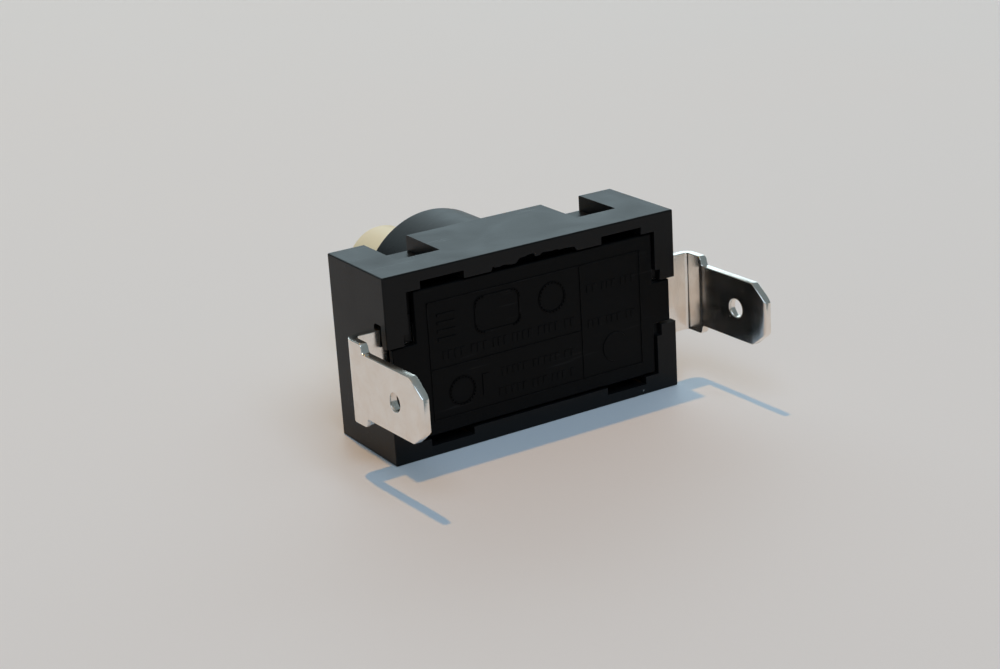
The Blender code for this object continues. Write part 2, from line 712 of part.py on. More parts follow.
def main():
    clear_scene()
    black = material("housing_black", (0.012, 0.012, 0.013), 0.38)
    cover_black = material("cover_black", (0.008, 0.008, 0.0085), 0.5)
    tinned = material("tinned_brass", (0.76, 0.71, 0.64), 0.2, 1.0)
    silver = material("contact_silver", (0.85, 0.84, 0.8), 0.25, 1.0)
    copper = material("bridge_copper", (0.8, 0.45, 0.28), 0.3, 1.0)
    cream = material("plunger_cream", (0.72, 0.66, 0.42), 0.4)
    natural = material("carrier_white", (0.8, 0.79, 0.74), 0.4)
    steel = material("spring_steel", (0.55, 0.56, 0.58), 0.3, 1.0)
    make_housing(black)
    make_rear_cover(cover_black)
    make_terminals(tinned)
    make_contacts(silver)
    make_contact_bridge(copper)
    make_plunger(cream)
    make_cam_carrier(natural)
    make_bridge_clip(steel)
    make_springs(steel)
    make_latch(steel, steel)


main()
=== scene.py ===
import math
import random

import bmesh
import bpy
from mathutils import Matrix, Vector


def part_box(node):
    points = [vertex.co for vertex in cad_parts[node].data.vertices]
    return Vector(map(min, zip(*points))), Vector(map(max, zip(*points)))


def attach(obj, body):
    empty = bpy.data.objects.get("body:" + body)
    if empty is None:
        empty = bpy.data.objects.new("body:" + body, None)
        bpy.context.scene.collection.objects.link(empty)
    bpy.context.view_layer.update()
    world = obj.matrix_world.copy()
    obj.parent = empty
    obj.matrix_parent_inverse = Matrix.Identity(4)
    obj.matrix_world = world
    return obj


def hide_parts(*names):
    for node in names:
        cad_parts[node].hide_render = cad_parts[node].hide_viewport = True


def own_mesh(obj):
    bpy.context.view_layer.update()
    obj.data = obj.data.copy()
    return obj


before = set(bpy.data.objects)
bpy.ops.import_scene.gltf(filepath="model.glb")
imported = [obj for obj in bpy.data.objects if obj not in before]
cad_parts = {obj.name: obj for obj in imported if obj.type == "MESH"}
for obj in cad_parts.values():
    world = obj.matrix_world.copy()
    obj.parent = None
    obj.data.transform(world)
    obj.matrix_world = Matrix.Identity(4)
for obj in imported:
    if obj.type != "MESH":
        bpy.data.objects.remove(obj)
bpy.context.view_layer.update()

MM = 0.001


def cad_box_mm(node):
    """Lowest and highest corner of a CAD node in millimetres, with y from the housing's rear face."""
    low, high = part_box(node)
    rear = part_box("housing")[0].y
    shift = Vector((0.0, rear, 0.0))
    return (low - shift) / MM, (high - shift) / MM


HOUSING_LOW, HOUSING_HIGH = cad_box_mm("housing")
COVER_LOW, COVER_HIGH = cad_box_mm("rear_cover")
STRIP_LOW, STRIP_HIGH = cad_box_mm("terminal_right")
PLUNGER_LOW, PLUNGER_HIGH = cad_box_mm("plunger")
RETURN_LOW, RETURN_HIGH = cad_box_mm("return_spring")
PRESS_LOW, PRESS_HIGH = cad_box_mm("contact_spring")
PIN_LOW, PIN_HIGH = cad_box_mm("latch_pin")
REAR_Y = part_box("housing")[0].y / MM

# Housing block and collar
HALF_LENGTH = HOUSING_HIGH.x
HEIGHT = HOUSING_HIGH.z - HOUSING_LOW.z
AXIS_Z = HEIGHT / 2
DEPTH = 10.75
COLLAR_END = HOUSING_HIGH.y
COLLAR_RADIUS = 8.4
GUIDE_RADIUS = 6.3
MOUTH_RADIUS = 4.4
CHAMBER_HALF_X = 13.2
CHAMBER_HALF_Z = 6.25
SEAT_HALF_X = 14.0
SEAT_HALF_Z = 7.45
SEAT_DEPTH = 1.0
CORNER_RELIEF_DEPTH = 0.75
SNAP_X = 10.1
SNAP_HALF_WIDTH = 2.35
POCKET_REAR = 4.2
POCKET_DEPTH = 1.6
WINDOW_FRONT = 6.4
NOTCH_DEPTH = 2.2
PIN_HOLE_Y = 3.5
PIN_HOLE_RADIUS = 0.48
TONGUE_HALF_WIDTH = 2.15

# Terminals
STRIP = 0.8
STRIP_Y = 1.5
STRIP_START = STRIP_LOW.x
BEND_RADIUS = 0.75
BEND_DEGREES = {"right": 88.8, "left": 92.5}
SHOULDER = (STRIP_HIGH.z - STRIP_LOW.z) / 2
BLADE_HALF = 3.15
BLADE_HOLE_Y = -6.45
BLADE_HOLE_RADIUS = 0.9
CONTACT_X = 8.4

COLLAR_STEPS = 144
ROUND_STEPS = 96


# ---------------------------------------------------------------- drawing tools, in millimetres

def box(x_span, y_span, z_span):
    bm = bmesh.new()
    bmesh.ops.create_cube(bm, size=1.0)
    low = Vector((x_span[0], y_span[0], z_span[0]))
    size = Vector((x_span[1], y_span[1], z_span[1])) - low
    for vert in bm.verts:
        vert.co = Vector(low[i] + (vert.co[i] + 0.5) * size[i] for i in range(3))
    return bm


def rounded_box(x_span, y_span, z_span, radius, segments=4):
    bm = box(x_span, y_span, z_span)
    bmesh.ops.bevel(bm, geom=list(bm.edges), offset=radius, segments=segments, profile=0.5,
                    affect="EDGES")
    return bm


def arc(centre, radius, start, end, steps):
    """Points of a circular arc, from the start angle to the end angle in degrees."""
    points = []
    for step in range(steps + 1):
        angle = math.radians(start + (end - start) * step / steps)
        points.append((centre[0] + radius * math.cos(angle), centre[1] + radius * math.sin(angle)))
    return points


def turned(profile, centre_x=0.0, centre_z=None, steps=ROUND_STEPS):
    """A solid turned about a line along Y; the profile runs over (radius, y) points."""
    centre_z = AXIS_Z if centre_z is None else centre_z
    bm = bmesh.new()
    rings = []
    for radius, y in profile:
        if radius == 0:
            rings.append([bm.verts.new((centre_x, y, centre_z))])
            continue
        ring = []
        for step in range(steps):
            angle = math.tau * step / steps
            ring.append(bm.verts.new((centre_x + radius * math.cos(angle), y,
                                      centre_z + radius * math.sin(angle))))
        rings.append(ring)
    for ring, following in zip(rings, rings[1:]):
        for step in range(steps):
            after = (step + 1) % steps
            corners = [ring[step % len(ring)], ring[after % len(ring)],
                       following[after % len(following)], following[step % len(following)]]
            bm.faces.new(list(dict.fromkeys(corners)))
    bmesh.ops.recalc_face_normals(bm, faces=bm.faces)
    return bm


def cylinder(radius, y_span, centre_x=0.0, centre_z=None, steps=ROUND_STEPS):
    profile = [(0, y_span[0]), (radius, y_span[0]), (radius, y_span[1]), (0, y_span[1])]
    return turned(profile, centre_x, centre_z, steps)


def prism(outline, low, high, place):
    """An outline of 2-D points pulled from low to high; place() turns (a, b, height) into a point."""
    bm = bmesh.new()
    bottom = [bm.verts.new(place(a, b, low)) for a, b in outline]
    top = [bm.verts.new(place(a, b, high)) for a, b in outline]
    bm.faces.new(bottom)
    bm.faces.new(top)
    for index in range(len(outline)):
        after = (index + 1) % len(outline)
        bm.faces.new([bottom[index], bottom[after], top[after], top[index]])
    bmesh.ops.recalc_face_normals(bm, faces=bm.faces)
    return bm


def along_y(x, z, y):
    return (x, y, AXIS_Z + z)


def along_x(y, z, x):
    return (x, y, AXIS_Z + z)


def along_z(x, y, z):
    return (x, y, AXIS_Z + z)


def mirrored(bm, axis):
    """The shape's mirror image: axis 0 swaps left and right, 2 top and bottom."""
    copy = bm.copy()
    for vert in copy.verts:
        vert.co[axis] = -vert.co[axis] if axis == 0 else HEIGHT - vert.co[axis]
    bmesh.ops.reverse_faces(copy, faces=copy.faces)
    return copy


def four_corners(bm):
    left = mirrored(bm, 0)
    return [bm, left, mirrored(bm, 2), mirrored(left, 2)]


def merged(shapes):
    """Several separate shapes as one bmesh."""
    bm = bmesh.new()
    for shape in shapes:
        mesh = bpy.data.meshes.new("work")
        shape.to_mesh(mesh)
        shape.free()
        bm.from_mesh(mesh)
        bpy.data.meshes.remove(mesh)
    return bm


def work_object(bm):
    mesh = bpy.data.meshes.new("work")
    bm.to_mesh(mesh)
    bm.free()
    obj = bpy.data.objects.new("work", mesh)
    bpy.context.scene.collection.objects.link(obj)
    return obj


def combine(body, tools, operation):
    """Cut the tools from the body, or join them to it, one after the other."""
    for tool in tools:
        target = work_object(body)
        helper = work_object(tool)
        modifier = target.modifiers.new("work", "BOOLEAN")
        modifier.operation = operation
        modifier.solver = "EXACT"
        modifier.object = helper
        evaluated = target.evaluated_get(bpy.context.evaluated_depsgraph_get())
        body = bmesh.new()
        body.from_mesh(evaluated.to_mesh())
        bmesh.ops.remove_doubles(body, verts=body.verts, dist=0.0005)
        bmesh.ops.dissolve_degenerate(body, edges=body.edges, dist=0.0005)
        for used in (helper, target):
            mesh = used.data
            bpy.data.objects.remove(used, do_unlink=True)
            bpy.data.meshes.remove(mesh)
    return body


def wire(path, radius, sides):
    """A round wire along a path of points, with slightly rounded ends."""
    bm = bmesh.new()
    points = [Vector(point) for point in path]
    tangent = (points[1] - points[0]).normalized()
    side = tangent.orthogonal().normalized()
    rings = []
    for index, point in enumerate(points):
        before = points[max(index - 1, 0)]
        after = points[min(index + 1, len(points) - 1)]
        tangent = (after - before).normalized()
        side = (side - tangent * side.dot(tangent)).normalized()
        up = tangent.cross(side)
        places = [(point, radius)]
        if index == 0:
            places = [(point, radius * 0.72), (point + tangent * radius * 0.28, radius)]
        elif index == len(points) - 1:
            places = [(point - tangent * radius * 0.28, radius), (point, radius * 0.72)]
        for centre, size in places:
            ring = []
            for corner in range(sides):
                angle = math.tau * corner / sides
                ring.append(bm.verts.new(centre + size * (side * math.cos(angle) + up * math.sin(angle))))
            rings.append(ring)
    bm.faces.new(rings[0])
    bm.faces.new(rings[-1])
    for ring, following in zip(rings, rings[1:]):
        for corner in range(sides):
            after = (corner + 1) % sides
            bm.faces.new([ring[corner], ring[after], following[after], following[corner]])
    bmesh.ops.recalc_face_normals(bm, faces=bm.faces)
    return bm


def coil(mean_radius, wire_radius, rear, front, turns, steps_per_turn, sides):
    """A compression spring about the plunger's axis, with one closed turn at each end."""
    count = round(turns * steps_per_turn)
    rise_end = 2.2 * wire_radius
    low = rear + wire_radius
    high = front - wire_radius
    path = []
    for step in range(count + 1):
        turn = turns * step / count
        if turn <= 1:
            y = low + rise_end * turn
        elif turn >= turns - 1:
            y = high - rise_end * (turns - turn)
        else:
            share = (turn - 1) / (turns - 2)
            y = low + rise_end + share * (high - low - 2 * rise_end)
        angle = math.tau * turn
        path.append((mean_radius * math.cos(angle), y, AXIS_Z + mean_radius * math.sin(angle)))
    return wire(path, wire_radius, sides)


def make_piece(name, bm, mat, body, replaced=(), edge=0.0, segments=2):
    """Place the shape in metres, round its sharp edges, and tie it to its body."""
    bm.transform(Matrix.Scale(MM, 4) @ Matrix.Translation((0.0, REAR_Y, 0.0)))
    mesh = bpy.data.meshes.new(name)
    bm.to_mesh(mesh)
    bm.free()
    mesh.materials.append(mat)
    mesh.shade_smooth()
    obj = bpy.data.objects.new(name, mesh)
    bpy.context.scene.collection.objects.link(obj)
    if edge:
        rounding = obj.modifiers.new("edge_rounding", "BEVEL")
        rounding.width = edge * MM
        rounding.segments = segments
        rounding.limit_method = "ANGLE"
        rounding.angle_limit = math.radians(32)
        rounding.use_clamp_overlap = True
        rounding.loop_slide = True
        flat = obj.modifiers.new("even_shading", "WEIGHTED_NORMAL")
        flat.keep_sharp = True
        flat.weight = 60
    else:
        mesh.set_sharp_from_angle(angle=math.radians(40))
    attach(obj, body)
    if replaced:
        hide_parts(*replaced)
    return obj


# ---------------------------------------------------------------- node groups

class Nodes:
    """Short calls for building one node tree."""

    def __init__(self, tree):
        self.tree = tree

    def add(self, kind, inputs=(), **settings):
        node = self.tree.nodes.new(kind)
        for key, value in settings.items():
            setattr(node, key, value)
        for key, value in dict(inputs).items():
            if isinstance(value, bpy.types.NodeSocket):
                self.tree.links.new(value, node.inputs[key])
            else:
                node.inputs[key].default_value = value
        return node

    def maths(self, operation, first, second=0.0, third=0.0, clamp=False):
        values = {0: first, 1: second}
        if operation == "MULTIPLY_ADD":
            values[2] = third
        return self.add("ShaderNodeMath", values, operation=operation, use_clamp=clamp).outputs[0]

    def noise(self, vector, scale, detail=2.0, rough=0.5, distortion=0.0):
        node = self.add("ShaderNodeTexNoise", {"Vector": vector, "Scale": scale, "Detail": detail,
                                               "Roughness": rough, "Distortion": distortion})
        return node.outputs["Fac"]

    def spread(self, value, low, high, to_low=0.0, to_high=1.0):
        node = self.add("ShaderNodeMapRange", {"Value": value, "From Min": low, "From Max": high,
                                               "To Min": to_low, "To Max": to_high}, clamp=True)
        return node.outputs["Result"]

    def blend(self, factor, first, second):
        node = self.add("ShaderNodeMix", data_type="RGBA")
        for index, value in ((0, factor), (6, first), (7, second)):
            if isinstance(value, bpy.types.NodeSocket):
                self.tree.links.new(value, node.inputs[index])
            else:
                node.inputs[index].default_value = value
        return node.outputs[2]


def node_group(name, inputs, outputs):
    """An empty node group with its sockets: inputs are (name, kind, default), outputs (name, kind)."""
    tree = bpy.data.node_groups.new(name, "ShaderNodeTree")
    for label, kind, default in inputs:
        socket = tree.interface.new_socket(label, in_out="INPUT", socket_type="NodeSocket" + kind)
        if default is not None:
            socket.default_value = default
    for label, kind in outputs:
        tree.interface.new_socket(label, in_out="OUTPUT", socket_type="NodeSocket" + kind)
    source = tree.nodes.new("NodeGroupInput")
    sink = tree.nodes.new("NodeGroupOutput")
    return tree, Nodes(tree), source.outputs, sink.inputs


def moulded_grain_group():
    """Fine spark-eroded grain with a slow flow pattern: a height for bump, and roughness variation."""
    tree, n, given, result = node_group(
        "Moulded Grain",
        [("Grain Size", "Float", 0.00011), ("Flow Size", "Float", 0.006)],
        [("Height", "Float"), ("Flow", "Float")],
    )
    place = n.add("ShaderNodeTexCoord").outputs["Object"]
    fine = n.noise(place, n.maths("DIVIDE", 1.0, given["Grain Size"]), detail=2.5, rough=0.6)
    pits = n.noise(place, n.maths("DIVIDE", 0.42, given["Grain Size"]), detail=1.0)
    flow = n.noise(place, n.maths("DIVIDE", 1.0, given["Flow Size"]), detail=3.0, distortion=0.8)
    height = n.maths("MULTIPLY_ADD", pits, 0.6, n.maths("MULTIPLY", fine, 0.4))
    tree.links.new(height, result["Height"])
    tree.links.new(n.spread(flow, 0.3, 0.7), result["Flow"])
    return tree


def edge_wear_group():
    """Where edges are rubbed: 1 on a handled edge, broken up by noise."""
    tree, n, given, result = node_group(
        "Edge Wear",
        [("Reach", "Float", 0.00012), ("Break Up", "Float", 900.0)],
        [("Wear", "Float")],
    )
    rounded = n.add("ShaderNodeBevel", {"Radius": given["Reach"]}, samples=6).outputs[0]
    flat = n.add("ShaderNodeNewGeometry").outputs["Normal"]
    along = n.add("ShaderNodeVectorMath", {0: rounded, 1: flat}, operation="DOT_PRODUCT").outputs["Value"]
    turned_away = n.spread(along, 0.995, 0.86)
    place = n.add("ShaderNodeTexCoord").outputs["Object"]
    broken = n.spread(n.noise(place, given["Break Up"], detail=3.0, rough=0.65), 0.42, 0.66)
    tree.links.new(n.maths("MULTIPLY", turned_away, broken), result["Wear"])
    return tree


def scuff_group():
    """Faint hairline scratches from handling, in two directions, in patches."""
    tree, n, given, result = node_group(
        "Handling Scuffs",
        [("Fineness", "Float", 4200.0), ("Patch Size", "Float", 0.007)],
        [("Scuffs", "Float")],
    )
    place = n.add("ShaderNodeTexCoord").outputs["Object"]
    lines = []
    for turned_by in ((0.2, 0.1, 0.5), (-0.3, 0.2, -1.1)):
        drawn_out = n.add("ShaderNodeMapping", {"Vector": place, "Rotation": turned_by,
                                                "Scale": (0.035, 1.0, 0.6)}).outputs[0]
        lines.append(n.spread(n.noise(drawn_out, given["Fineness"], detail=1.0), 0.69, 0.75))
    patches = n.spread(n.noise(place, n.maths("DIVIDE", 1.0, given["Patch Size"]), detail=1.0), 0.5, 0.62)
    tree.links.new(n.maths("MULTIPLY", n.maths("MAXIMUM", *lines), patches), result["Scuffs"])
    return tree


def dust_group():
    """Sparse pale specks of dust, mostly on what faces up."""
    tree, n, given, result = node_group(
        "Dust Specks",
        [("Cell", "Float", 0.0024), ("Speck", "Float", 0.045), ("Share", "Float", 0.16)],
        [("Dust", "Float")],
    )
    place = n.add("ShaderNodeTexCoord").outputs["Object"]
    cells = n.add("ShaderNodeTexVoronoi", {"Vector": place, "Scale": n.maths("DIVIDE", 1.0, given["Cell"]),
                                           "Randomness": 1.0})
    tint = n.add("ShaderNodeSeparateColor", {"Color": cells.outputs["Color"]})
    chosen = n.maths("LESS_THAN", tint.outputs[0], given["Share"])
    size = n.maths("MULTIPLY", given["Speck"], n.maths("ADD", 0.4, tint.outputs[1]))
    wobble = n.noise(place, 6000.0, detail=1.0)
    edge = n.maths("MULTIPLY", size, n.maths("ADD", 0.5, wobble))
    speck = n.maths("LESS_THAN", cells.outputs["Distance"], edge)
    facing = n.add("ShaderNodeSeparateXYZ", {0: n.add("ShaderNodeNewGeometry").outputs["Normal"]})
    up = n.spread(facing.outputs["Z"], -0.2, 0.6, 0.35, 1.0)
    found = n.maths("MULTIPLY", n.maths("MULTIPLY", chosen, speck), up)
    tree.links.new(found, result["Dust"])
    return tree


def strip_finish_group():
    """Rolled strip under tin: fine lines along the strip, soft bloom, and small rub marks."""
    tree, n, given, result = node_group(
        "Strip Finish",
        [("Line Pitch", "Float", 0.00007), ("Bloom Size", "Float", 0.0016)],
        [("Lines", "Float"), ("Bloom", "Float"), ("Rubs", "Float")],
    )
    place = n.add("ShaderNodeTexCoord").outputs["Object"]
    drawn_out = n.add("ShaderNodeMapping", {"Vector": place, "Scale": (0.06, 0.06, 1.0)}).outputs[0]
    lines = n.noise(drawn_out, n.maths("DIVIDE", 1.0, given["Line Pitch"]), detail=2.0, rough=0.6)
    bloom = n.noise(place, n.maths("DIVIDE", 1.0, given["Bloom Size"]), detail=4.0, rough=0.6,
                    distortion=0.5)
    rub_place = n.add("ShaderNodeMapping", {"Vector": place, "Rotation": (0.35, 0.1, 0.6),
                                            "Scale": (1.0, 0.12, 1.0)}).outputs[0]
    rubs = n.spread(n.noise(rub_place, 5200.0, detail=1.0), 0.68, 0.74)
    tree.links.new(lines, result["Lines"])
    tree.links.new(n.spread(bloom, 0.35, 0.68), result["Bloom"])
    tree.links.new(rubs, result["Rubs"])
    return tree


def drawn_wire_group():
    """Drawn wire: faint die lines and slightly uneven oil colour."""
    tree, n, given, result = node_group(
        "Drawn Wire",
        [("Pitch", "Float", 0.00005), ("Patch", "Float", 0.0011)],
        [("Lines", "Float"), ("Patches", "Float")],
    )
    place = n.add("ShaderNodeTexCoord").outputs["Object"]
    lines = n.noise(place, n.maths("DIVIDE", 1.0, given["Pitch"]), detail=1.5)
    patches = n.noise(place, n.maths("DIVIDE", 1.0, given["Patch"]), detail=2.0)
    tree.links.new(lines, result["Lines"])
    tree.links.new(n.spread(patches, 0.35, 0.65), result["Patches"])
    return tree


GRAIN = moulded_grain_group()
WEAR = edge_wear_group()
SCUFFS = scuff_group()
DUST = dust_group()
STRIP_FINISH = strip_finish_group()
DRAWN_WIRE = drawn_wire_group()


# ---------------------------------------------------------------- materials

def new_material(name):
    mat = bpy.data.materials.new(name)
    mat.use_nodes = True
    n = Nodes(mat.node_tree)
    return mat, n, mat.node_tree.nodes["Principled BSDF"]


def join_socket(n, value, shader, socket):
    n.tree.links.new(value, shader.inputs[socket])


def bump(n, shader, height, strength, distance):
    node = n.add("ShaderNodeBump", {"Height": height, "Strength": strength, "Distance": distance})
    join_socket(n, node.outputs["Normal"], shader, "Normal")


def plastic(name, dark, light, rough, grain_size, grain_depth, sheen_level, wear_colour, dust_share):
    """A moulded thermoplastic: grain, flow marks, rubbed edges and a few specks of dust."""
    mat, n, shader = new_material(name)
    shader.inputs["Specular IOR Level"].default_value = sheen_level
    grain = n.add("ShaderNodeGroup", node_tree=GRAIN)
    grain.inputs["Grain Size"].default_value = grain_size
    wear = n.add("ShaderNodeGroup", node_tree=WEAR)
    scuffs = n.add("ShaderNodeGroup", node_tree=SCUFFS).outputs["Scuffs"]
    dust = n.add("ShaderNodeGroup", node_tree=DUST)
    dust.inputs["Share"].default_value = dust_share
    ground = n.blend(grain.outputs["Flow"], (*dark, 1.0), (*light, 1.0))
    handled = n.maths("MULTIPLY_ADD", scuffs, 0.35, n.maths("MULTIPLY", wear.outputs["Wear"], 0.5))
    rubbed = n.blend(handled, ground, (*wear_colour, 1.0))
    dusted = n.blend(dust.outputs["Dust"], rubbed, (0.6, 0.59, 0.56, 1.0))
    join_socket(n, dusted, shader, "Base Color")
    uneven = n.maths("MULTIPLY_ADD", grain.outputs["Flow"], 0.08, rough - 0.04)
    polished = n.maths("MULTIPLY_ADD", n.maths("MAXIMUM", wear.outputs["Wear"], scuffs), -0.1, uneven)
    dulled = n.maths("MULTIPLY_ADD", dust.outputs["Dust"], 0.5, polished, clamp=True)
    join_socket(n, dulled, shader, "Roughness")
    bump(n, shader, grain.outputs["Height"], 0.6, grain_depth)
    return mat


def strip_metal(name, bright, tanned, rough, worn):
    """Plated strip: rolled lines, cloudy bloom in the plating and rub marks from the receptacle."""
    mat, n, shader = new_material(name)
    shader.inputs["Metallic"].default_value = 1.0
    finish = n.add("ShaderNodeGroup", node_tree=STRIP_FINISH)
    wear = n.add("ShaderNodeGroup", node_tree=WEAR)
    ground = n.blend(finish.outputs["Bloom"], (*bright, 1.0), (*tanned, 1.0))
    rubbed = n.blend(n.maths("MULTIPLY", finish.outputs["Rubs"], 0.5), ground, (*worn, 1.0))
    edged = n.blend(n.maths("MULTIPLY", wear.outputs["Wear"], 0.4), rubbed, (*worn, 1.0))
    join_socket(n, edged, shader, "Base Color")
    lined = n.maths("MULTIPLY_ADD", finish.outputs["Lines"], 0.14, rough - 0.07)
    join_socket(n, n.maths("MULTIPLY_ADD", finish.outputs["Bloom"], 0.08, lined), shader, "Roughness")
    bump(n, shader, finish.outputs["Lines"], 0.35, 0.000012)
    return mat


def wire_metal(name, colour, oiled, rough):
    mat, n, shader = new_material(name)
    shader.inputs["Metallic"].default_value = 1.0
    drawn = n.add("ShaderNodeGroup", node_tree=DRAWN_WIRE)
    join_socket(n, n.blend(drawn.outputs["Patches"], (*colour, 1.0), (*oiled, 1.0)), shader, "Base Color")
    join_socket(n, n.maths("MULTIPLY_ADD", drawn.outputs["Patches"], 0.12, rough), shader, "Roughness")
    bump(n, shader, drawn.outputs["Lines"], 0.3, 0.000008)
    return mat


def table_material():
    """Pale matt table top with a faint paper-like tooth."""
    mat, n, shader = new_material("table_top")
    shader.inputs["Specular IOR Level"].default_value = 0.3
    place = n.add("ShaderNodeTexCoord").outputs["Object"]
    cloud = n.spread(n.noise(place, 9.0, detail=3.0), 0.3, 0.7)
    tooth = n.noise(place, 2600.0, detail=2.0)
    clouded = n.blend(cloud, (0.78, 0.797, 0.835, 1.0), (0.80, 0.817, 0.855, 1.0))
    join_socket(n, clouded, shader, "Base Color")
    join_socket(n, n.maths("MULTIPLY_ADD", cloud, 0.06, 0.5), shader, "Roughness")
    bump(n, shader, tooth, 0.12, 0.00006)
    return mat


HOUSING_BLACK = plastic("housing_black_moulding", (0.0034, 0.0034, 0.0036), (0.005, 0.005, 0.0054), 0.36,
                        0.00012, 0.000011, 0.2, (0.035, 0.035, 0.037), 0.05)
COVER_BLACK = plastic("cover_black_moulding", (0.0018, 0.0018, 0.0019), (0.0028, 0.0028, 0.003), 0.5,
                      0.0001, 0.000012, 0.1, (0.02, 0.02, 0.021), 0.12)
PLUNGER_CREAM = plastic("plunger_cream_moulding", (0.82, 0.75, 0.50), (0.86, 0.79, 0.55), 0.38,
                        0.00014, 0.000006, 0.45, (0.76, 0.71, 0.55), 0.04)
CARRIER_WHITE = plastic("carrier_natural_moulding", (0.74, 0.73, 0.68), (0.79, 0.78, 0.73), 0.42,
                        0.00014, 0.000006, 0.45, (0.8, 0.79, 0.75), 0.0)
TINNED = strip_metal("tinned_strip", (0.96, 0.91, 0.85), (0.91, 0.83, 0.75), 0.17, (0.97, 0.95, 0.92))
COPPER = strip_metal("bridge_copper_strip", (0.83, 0.50, 0.33), (0.68, 0.36, 0.22), 0.3, (0.9, 0.6, 0.42))
SILVER = strip_metal("contact_silver_face", (0.87, 0.86, 0.82), (0.74, 0.71, 0.64), 0.26, (0.93, 0.92, 0.9))
STEEL = wire_metal("spring_steel_wire", (0.58, 0.59, 0.61), (0.45, 0.44, 0.42), 0.24)


# ---------------------------------------------------------------- housing

def ragged_edge(left, right, low, high, seed):
    """A torn moulding edge between two places: short uneven steps along x."""
    pick = random.Random(seed)
    points = []
    x = left
    while x < right:
        lift = pick.uniform(low, high)
        width = pick.uniform(0.35, 1.1)
        points += [(x, lift), (x + width * 0.7, lift + pick.uniform(-0.05, 0.05))]
        x += width
    return points


def snap_station_cuts():
    """At each snap station: the outer pocket, and the leg's channel with its window and rim notch."""
    x_span = (SNAP_X - SNAP_HALF_WIDTH, SNAP_X + SNAP_HALF_WIDTH)
    floor = AXIS_Z - POCKET_DEPTH
    notch_top = SEAT_HALF_Z + 0.75
    channel = prism([
        (-1, CHAMBER_HALF_Z - 1),
        (WINDOW_FRONT, CHAMBER_HALF_Z - 1),
        (WINDOW_FRONT, floor + 0.5),
        (POCKET_REAR, floor + 0.5),
        (POCKET_REAR, SEAT_HALF_Z),
        (NOTCH_DEPTH, SEAT_HALF_Z),
        (NOTCH_DEPTH, notch_top),
        (-1, notch_top),
    ], *x_span, along_x)
    pocket = box(x_span, (POCKET_REAR, DEPTH + 1), (AXIS_Z + floor, HEIGHT + 1))
    return four_corners(channel) + four_corners(pocket)


def end_wall_cuts():
    """In each end wall: the slot of the strip, the tongue's cut-out and its corner reliefs."""
    slot_half = SHOULDER + 0.45
    corner = 0.4
    slot = prism([
        (0.95, -slot_half),
        *arc((2.3 - corner, -slot_half + corner), corner, -90, 0, 5),
        *arc((2.3 - corner, slot_half - corner), corner, 0, 90, 5),
        (0.95, slot_half),
    ], CHAMBER_HALF_X - 1, HALF_LENGTH + 1, along_x)
    half = TONGUE_HALF_WIDTH + 0.2
    cut_out = box((SEAT_HALF_X - 0.5, HALF_LENGTH + 1), (-1, SEAT_DEPTH + 0.2),
                  (AXIS_Z - half, AXIS_Z + half))
    relief = box((SEAT_HALF_X - 0.5, SEAT_HALF_X + 0.55), (-1, CORNER_RELIEF_DEPTH),
                 (AXIS_Z - half - 1.1, AXIS_Z + half + 1.1))
    cuts = []
    for shape in (slot, cut_out, relief):
        cuts += [shape, mirrored(shape, 0)]
    return cuts


